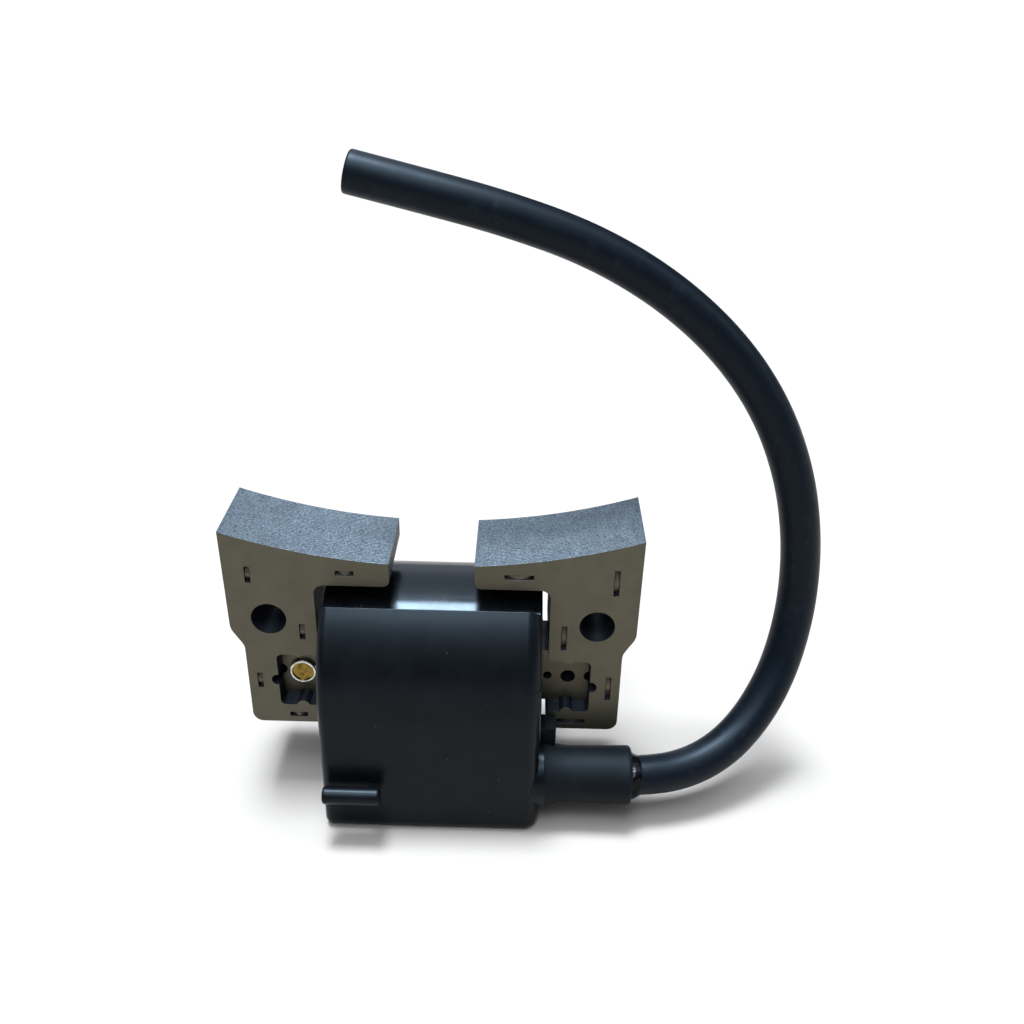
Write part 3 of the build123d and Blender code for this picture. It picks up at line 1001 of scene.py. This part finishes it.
# ---- Lead ---------------------------------------------------------------------------
@dataclass
class Lead:
    """High-tension lead: jacket, bare cut end, strands, and the sealant at the boss."""

    route: tuple[Place, ...] = (
        (24.0, -6.2, -29.45), (31.8, -6.2, -29.42), (39.6, -6.22, -29.6), (47.7, -4.4, -29.6),
        (55.0, -1.1, -27.6), (60.9, 3.1, -23.6), (65.6, 7.5, -17.3), (68.4, 11.1, -9.1), (69.4, 13.4, 0.9),
        (68.5, 14.7, 12.5), (65.7, 16.3, 24.4), (60.3, 18.0, 36.3), (51.8, 19.3, 47.3), (40.3, 20.2, 56.9),
        (26.9, 20.5, 64.3), (12.1, 20.4, 69.3), (-2.6, 20.5, 72.9), (-14.8, 21.2, 75.6),
    )
    radius: float = 3.7
    bore: float = 1.0
    edge: float = 0.45
    sides: int = 48
    exit: Place = (37.6, -6.2, -29.45)
    length: float = 0.1932
    rim_steps: int = 4
    bore_steps: tuple[Pair, ...] = ((0.9, -0.03), (0.12, -0.06), (0.0, -0.2), (0.0, -2.5))
    strand_radius: float = 0.19
    strand_length: float = 3.0
    strand_recess: float = 0.15
    strand_spacing: float = 2.05
    strand_twist: float = 0.26
    strand_uneven: Pair = (-0.08, 0.05)
    strand_tip: Pair = (0.72, 0.06)
    strand_sides: int = 12
    strand_seed: int = 11
    seal_start: float = 37.0
    seal_end: float = 39.3
    seal_height: float = 0.62
    seal_foot: float = 0.30
    seal_sink: float = -0.08
    seal_fuller: float = 0.35
    seal_lumps: float = 1.5
    seal_steps: int = 14
    seal_seed: int = 5

    def __post_init__(self) -> None:
        """Work out the centre line and a steady frame along it."""
        self.path = self._centre_line()
        self.frames = self._frames()

    def build(self, rubber: Material, copper: Material, sealant: Material
              ) -> list[Piece]:
        """Build the lead's pieces.

        Args:
            rubber: Finish of the jacket.
            copper: Finish of the strands.
            sealant: Finish of the bead at the boss.

        Returns:
            Jacket, strands and bead.
        """
        jacket = self._jacket(rubber)
        strands = self._strands(copper)
        bead = self._bead(sealant)
        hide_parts("ht_lead")
        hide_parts("ht_conductor")
        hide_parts("ht_seal")
        return [jacket, strands, bead]

    def _centre_line(self) -> list[Vector]:
        """Read the smooth line of the route, in millimetres.

        Returns:
            Points of the line.
        """
        curve = bpy.data.curves.new("lead_line", "CURVE")
        curve.dimensions = "3D"
        spline = curve.splines.new("NURBS")
        spline.points.add(len(self.route) - 1)
        for point, place in zip(spline.points, self.route):
            point.co = (*place, 1.0)
        spline.order_u = 3
        spline.use_endpoint_u = True
        spline.resolution_u = 14
        holder = bpy.data.objects.new("lead_line", curve)
        line = bpy.data.meshes.new_from_object(holder)
        points = [vertex.co.copy() for vertex in line.vertices]
        bpy.data.objects.remove(holder)
        bpy.data.curves.remove(curve)
        bpy.data.meshes.remove(line)
        return points

    def _frames(self) -> list[tuple[Vector, Vector]]:
        """Carry two cross directions along the line without twist.

        Returns:
            Both directions at each point.
        """
        frames = []
        side = Vector((0.0, 0.0, 1.0))
        for i in range(len(self.path)):
            ahead = self._tangent(i)
            side = (side - ahead * side.dot(ahead)).normalized()
            frames.append((side, ahead.cross(side)))
        return frames

    def _tangent(self, i: int) -> Vector:
        """Direction of the line at one of its points."""
        last = len(self.path) - 1
        return (self.path[min(i + 1, last)] - self.path[max(i - 1, 0)]).normalized()

    def _circle(self, i: int, radius: Callable[[float], float], shift: float = 0.0) -> list[Vector]:
        """Ring of points round the line.

        Args:
            i: Number of the point on the line.
            radius: Radius for each angle.
            shift: How far to move the ring along the line.

        Returns:
            The ring.
        """
        side, up = self.frames[i]
        centre = self.path[i] + self._tangent(i) * shift
        angles = [2 * math.pi * k / self.sides for k in range(self.sides)]
        return [centre + (side * math.cos(a) + up * math.sin(a)) * radius(a) for a in angles]

    def _jacket(self, rubber: Material) -> Piece:
        """Build the jacket, with a rounded rim and a shallow bore at the cut end.

        Args:
            rubber: Its finish.

        Returns:
            The jacket.
        """
        data = MeshData()
        last = len(self.path) - 1
        rings = [data.ring(self._circle(i, lambda a: self.radius)) for i in range(last)]
        profile = [(self.radius, -self.edge)]
        for step in range(1, self.rim_steps + 1):
            angle = math.pi / 2 * step / self.rim_steps
            inward, back = self.edge * (1 - math.cos(angle)), self.edge * (1 - math.sin(angle))
            profile.append((self.radius - inward, -back))
        profile += [(self.bore + wider, shift) for wider, shift in self.bore_steps]
        for radius, shift in profile:
            rings.append(data.ring(self._circle(last, lambda a, r=radius: r, shift)))
        data.tube(rings)
        return data.build("ht_lead_jacket", [rubber], 40.0)

    def _strands(self, copper: Material) -> Piece:
        """Build the strands: one in the middle, six round it and twelve round those.

        Args:
            copper: Their finish.

        Returns:
            The strands.
        """
        data = MeshData()
        last = len(self.path) - 1
        side, up = self.frames[last]
        ahead = self._tangent(last)
        pitch = self.strand_spacing * self.strand_radius
        tip, bevel = self.strand_tip
        spokes = [2 * math.pi * n / self.strand_sides for n in range(self.strand_sides)]
        draw = random.Random(self.strand_seed)
        for layer, count in enumerate((1, 6, 12)):
            for k in range(count):
                angle = 2 * math.pi * k / count + self.strand_twist * layer
                place = (side * math.cos(angle) + up * math.sin(angle)) * pitch * layer
                top = -self.strand_recess + draw.uniform(*self.strand_uneven)
                rings = []
                for radius, shift in ((1.0, -self.strand_length), (1.0, top - bevel), (tip, top)):
                    centre = self.path[last] + place + ahead * shift
                    rings.append(data.ring([
                        centre + (side * math.cos(a) + up * math.sin(a)) * radius * self.strand_radius
                        for a in spokes]))
                data.tube(rings)
        return data.build("ht_lead_strands", [copper], 40.0)

    def _bead(self, sealant: Material) -> Piece:
        """Build the uneven bead of sealant where the lead enters the boss.

        Args:
            sealant: Its finish.

        Returns:
            The bead.
        """
        draw = random.Random(self.seal_seed)
        waves = [(draw.randint(2, 7), draw.uniform(0, 6.28), draw.uniform(0.03, 0.11)) for _ in range(6)]
        data = MeshData()
        rings = []
        near_boss = range(len(self.path) // 4)
        for step in range(self.seal_steps + 1):
            share = step / self.seal_steps
            along = self.seal_start + (self.seal_end - self.seal_start) * share
            i = min(near_boss, key=lambda number: abs(self.path[number].x - along))
            rise = self.seal_foot + (1.0 - self.seal_foot) * share
            swell = self.seal_height * math.sin(math.pi * rise) if share < 1 else self.seal_sink

            def radius(a: float, swell: float = swell, share: float = share) -> float:
                """Radius of the bead at one angle, lumpier and fuller below."""
                lumps = sum(size * math.sin(n * a + phase + 3 * share) for n, phase, size in waves)
                shape = 1 + self.seal_lumps * lumps - self.seal_fuller * math.cos(a)
                return self.radius + max(-0.1, swell * shape)

            rings.append(data.ring(self._circle(i, radius, along - self.path[i].x)))
        data.tube(rings)
        return data.build("sealant_bead", [sealant], 60.0)


# ---- Carried-over pieces ------------------------------------------------------------
def dress(node: str, material: Material) -> None:
    """Give a piece of the frame its finish.

    Args:
        node: Name of the piece.
        material: The finish.
    """
    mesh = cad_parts[node].data
    mesh.materials.clear()
    mesh.materials.append(material)
    LOG.info("dressed %s in %s", node, material.name)


@dataclass
class CoilBody:
    """Case, resin, ground connection and stop terminal."""

    def dress(self) -> None:
        """Give each piece its finish."""
        case = Moulding("case_plastic", (0.0022, 0.0026, 0.0034), (0.0042, 0.0048, 0.0058),
                        rough=(0.15, 0.23), level=0.14, tint=(0.74, 0.90, 1.0),
                        satin=(("X", 20.6, 21.4, 0.60), ("Y", -12.6, -13.0, 0.34), ("Y", -2.6, -3.2, 0.30)))
        dress("coil_case", case.make())
        dress("potting_resin", Glossy("resin", (0.006, 0.0062, 0.007)).make())
        tin = BareMetal("tinned_metal", (0.72, 0.72, 0.68), (0.40, 0.39, 0.36)).make()
        brass = BareMetal("brass", (0.23, 0.152, 0.032), (0.135, 0.086, 0.018)).make()
        for node in ("ground_eyelet", "kill_terminal", "board_pins"):
            dress(node, tin)
        for node in ("ground_rivet", "ht_terminal"):
            dress(node, brass)


@dataclass
class Insides:
    """Windings and electronics, sealed in the resin."""

    def dress(self) -> None:
        """Give each piece its finish."""
        nylon = Moulding("bobbin_plastic", (0.56, 0.53, 0.44), (0.48, 0.45, 0.36), (0.45, 0.6), 0.5).make()
        for node in ("primary_bobbin", "secondary_bobbin"):
            dress(node, nylon)
        copper, dull = (0.72, 0.30, 0.13), (0.42, 0.15, 0.06)
        dress("primary_winding", BareMetal("primary_copper", copper, dull, turn_pitch=0.6).make())
        dress("secondary_winding", BareMetal("secondary_copper", copper, dull, turn_pitch=0.12).make())
        plain = BareMetal("copper_wire", copper, dull).make()
        for node in ("primary_start_wire", "primary_finish_wire", "ht_output_wire", "heat_spreader"):
            dress(node, plain)
        dress("circuit_board", Laminate().make())
        black = Moulding("component_plastic", (0.016, 0.016, 0.018), (0.028, 0.028, 0.030),
                         (0.5, 0.65), 0.5).make()
        for node in ("power_transistor", "control_chip", "chip_resistors", "clamp_diode"):
            dress(node, black)
        red = Moulding("capacitor_plastic", (0.34, 0.04, 0.025), (0.26, 0.03, 0.02), (0.2, 0.3), 0.5).make()
        dress("film_capacitors", red)
        hose = Moulding("wire_insulation", (0.02, 0.02, 0.022), (0.03, 0.03, 0.032), (0.45, 0.55), 0.5).make()
        dress("stop_wire", hose)


# ---- Studio -------------------------------------------------------------------------
@dataclass
class Studio:
    """Pale floor, a soft light overhead and the camera."""

    floor_half: float = 6.0
    floor_color: Color = (0.378, 0.326, 0.288)
    light_color: Color = (0.86, 1.0, 1.14)
    paper_color: Color = (1.0, 1.0, 1.0)
    pitch: float = 28.64
    roll: float = 1.14
    yaw: float = 0.55
    place: Place = (15.6, -159.9, 110.8)
    focal: float = 1061.46 / 1024.0
    sensor: float = 36.0
    # angle from straight up towards the back, in degrees, and how bright the room is there
    room: tuple[Pair, ...] = (
        (-180, 0.10), (-92, 0.16), (-82, 0.22), (-71, 0.42), (-61, 1.0), (-51, 2.2), (-41, 5.4), (-34, 10.0),
        (-28, 24.0), (-20, 15.0), (-12, 11.0), (-3, 14.0), (0, 104.0), (11, 104.0), (14, 20.0), (19, 9.0),
        (25, 4.4), (38, 2.4), (53, 1.5), (75, 1.2), (88, 0.5), (180, 0.10),
    )
    side_shift: float = 0.08
    side_full: float = 3.5
    side_dark: float = 10.0
    side_low: float = 0.035
    # the curve holds this root of the level, so that the dim stretches keep their detail
    curve_power: float = 4.0

    def build(self) -> None:
        """Make the floor, the room and the camera."""
        self._floor()
        self._room()
        self._camera()
        bpy.context.scene.view_settings.view_transform = "Standard"

    def _floor(self) -> None:
        """Lay the pale floor under the case."""
        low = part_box("coil_case")[0].z
        half = self.floor_half
        mesh = bpy.data.meshes.new("floor")
        corners = [(-half, -half, low), (half, -half, low), (half, half, low), (-half, half, low)]
        mesh.from_pydata(corners, [], [(0, 1, 2, 3)])
        board = NodeBoard("floor_paper")
        board.set(Specular_IOR_Level=0.1, Roughness=0.8)
        lighter = tuple(min(1.0, 1.01 * channel) for channel in self.floor_color)
        board.wire(board.blend(board.noise(60.0), self.floor_color, lighter), "Base Color")
        mesh.materials.append(board.material)
        floor = bpy.data.objects.new("floor", mesh)
        bpy.context.scene.collection.objects.link(floor)

    def _room(self) -> None:
        """Light the scene from a room that is brightest straight above."""
        world = bpy.data.worlds.new("room")
        world.use_nodes = True
        bpy.context.scene.world = world
        tree = world.node_tree
        background = tree.nodes["Background"]
        background.inputs["Color"].default_value = (*self.light_color, 1.0)
        split = tree.nodes.new("ShaderNodeSeparateXYZ")
        direction = tree.nodes.new("ShaderNodeTexCoord").outputs["Generated"]
        tree.links.new(direction, split.inputs["Vector"])
        angle = math_node(tree, "ARCTAN2", split.outputs["Y"], split.outputs["Z"])
        share = math_node(tree, "MULTIPLY_ADD", angle, 0.5 / math.pi, 0.5)
        peak = max(level for _, level in self.room)
        curve = tree.nodes.new("ShaderNodeFloatCurve")
        tree.links.new(share, curve.inputs["Value"])
        line = curve.mapping.curves[0]
        root = 1.0 / self.curve_power
        places = [(0.5 + degrees / 360.0, (level / peak) ** root) for degrees, level in self.room]
        line.points[0].location = places[0]
        line.points[1].location = places[-1]
        for place in places[1:-1]:
            line.points.new(*place)
        for point in line.points:
            point.handle_type = "VECTOR"
        curve.mapping.update()
        lift = math_node(tree, "POWER", curve.outputs["Value"], self.curve_power)
        sideways = math_node(tree, "ABSOLUTE", math_node(tree, "ADD", split.outputs["X"], self.side_shift))
        edges = tuple(math.sin(math.radians(value)) for value in (self.side_full, self.side_dark))
        fade = map_range(tree, sideways, edges, (1.0, self.side_low), "SMOOTHSTEP")
        strength = math_node(tree, "MULTIPLY", math_node(tree, "MULTIPLY", lift, fade), peak)
        tree.links.new(strength, background.inputs["Strength"])
        self._backdrop(tree, background)

    def _backdrop(self, tree: bpy.types.NodeTree, room: bpy.types.Node) -> None:
        """Show plain pale paper past the floor, whatever the room looks like.

        Args:
            tree: Nodes of the room.
            room: The lit room.
        """
        paper = tree.nodes.new("ShaderNodeBackground")
        paper.inputs["Color"].default_value = (*self.paper_color, 1.0)
        mix = tree.nodes.new("ShaderNodeMixShader")
        seen = tree.nodes.new("ShaderNodeLightPath").outputs["Is Camera Ray"]
        output = next(node for node in tree.nodes if node.type == "OUTPUT_WORLD")
        tree.links.new(seen, mix.inputs[0])
        tree.links.new(room.outputs["Background"], mix.inputs[1])
        tree.links.new(paper.outputs["Background"], mix.inputs[2])
        tree.links.new(mix.outputs["Shader"], output.inputs["Surface"])

    def _camera(self) -> None:
        """Set up the camera in front of the coil, looking down at it."""
        pitch, roll, yaw = (math.radians(value) for value in (self.pitch, self.roll, self.yaw))
        flat = math.cos(pitch)
        ahead = Vector((-math.sin(yaw) * flat, math.cos(yaw) * flat, -math.sin(pitch)))
        level = Vector((math.cos(yaw), math.sin(yaw), 0.0))
        over = level.cross(ahead)
        right = level * math.cos(roll) + over * math.sin(roll)
        up = over * math.cos(roll) - level * math.sin(roll)
        data = bpy.data.cameras.new("camera")
        data.sensor_width = self.sensor
        data.lens = self.sensor * self.focal
        data.clip_start = 0.01
        camera = bpy.data.objects.new("camera", data)
        matrix = Matrix((right, up, -ahead)).transposed().to_4x4()
        matrix.translation = Vector(self.place) * MM
        camera.matrix_world = matrix
        bpy.context.scene.collection.objects.link(camera)
        bpy.context.scene.camera = camera


def main() -> None:
    """Build every piece in order and report it."""
    logging.basicConfig(level=logging.INFO, format="%(name)s: %(message)s")
    Studio().build()
    copper = BareMetal("strand_copper", (0.72, 0.34, 0.17), (0.46, 0.20, 0.09)).make()
    sealant = Glossy("sealant", (0.0014, 0.0014, 0.0018), rough=0.10, wave=0.16, coat=0.0, level=0.10)
    lead = Lead().build(Rubber().make(), copper, sealant.make())
    steel = [SheetSteel().make(), GroundSteel().make(), ShearedEdge().make()]
    legs = [CoreLeg(Side.LEFT, slot_length=3.3), CoreLeg(Side.RIGHT)]
    pieces = [leg.build(steel) for leg in legs] + [CoreBar().build(steel)] + lead
    for piece in pieces:
        LOG.info("built %s with %d faces", piece.name, len(piece.data.polygons))
    CoilBody().dress()
    Insides().dress()


if __name__ == "__main__":
    main()
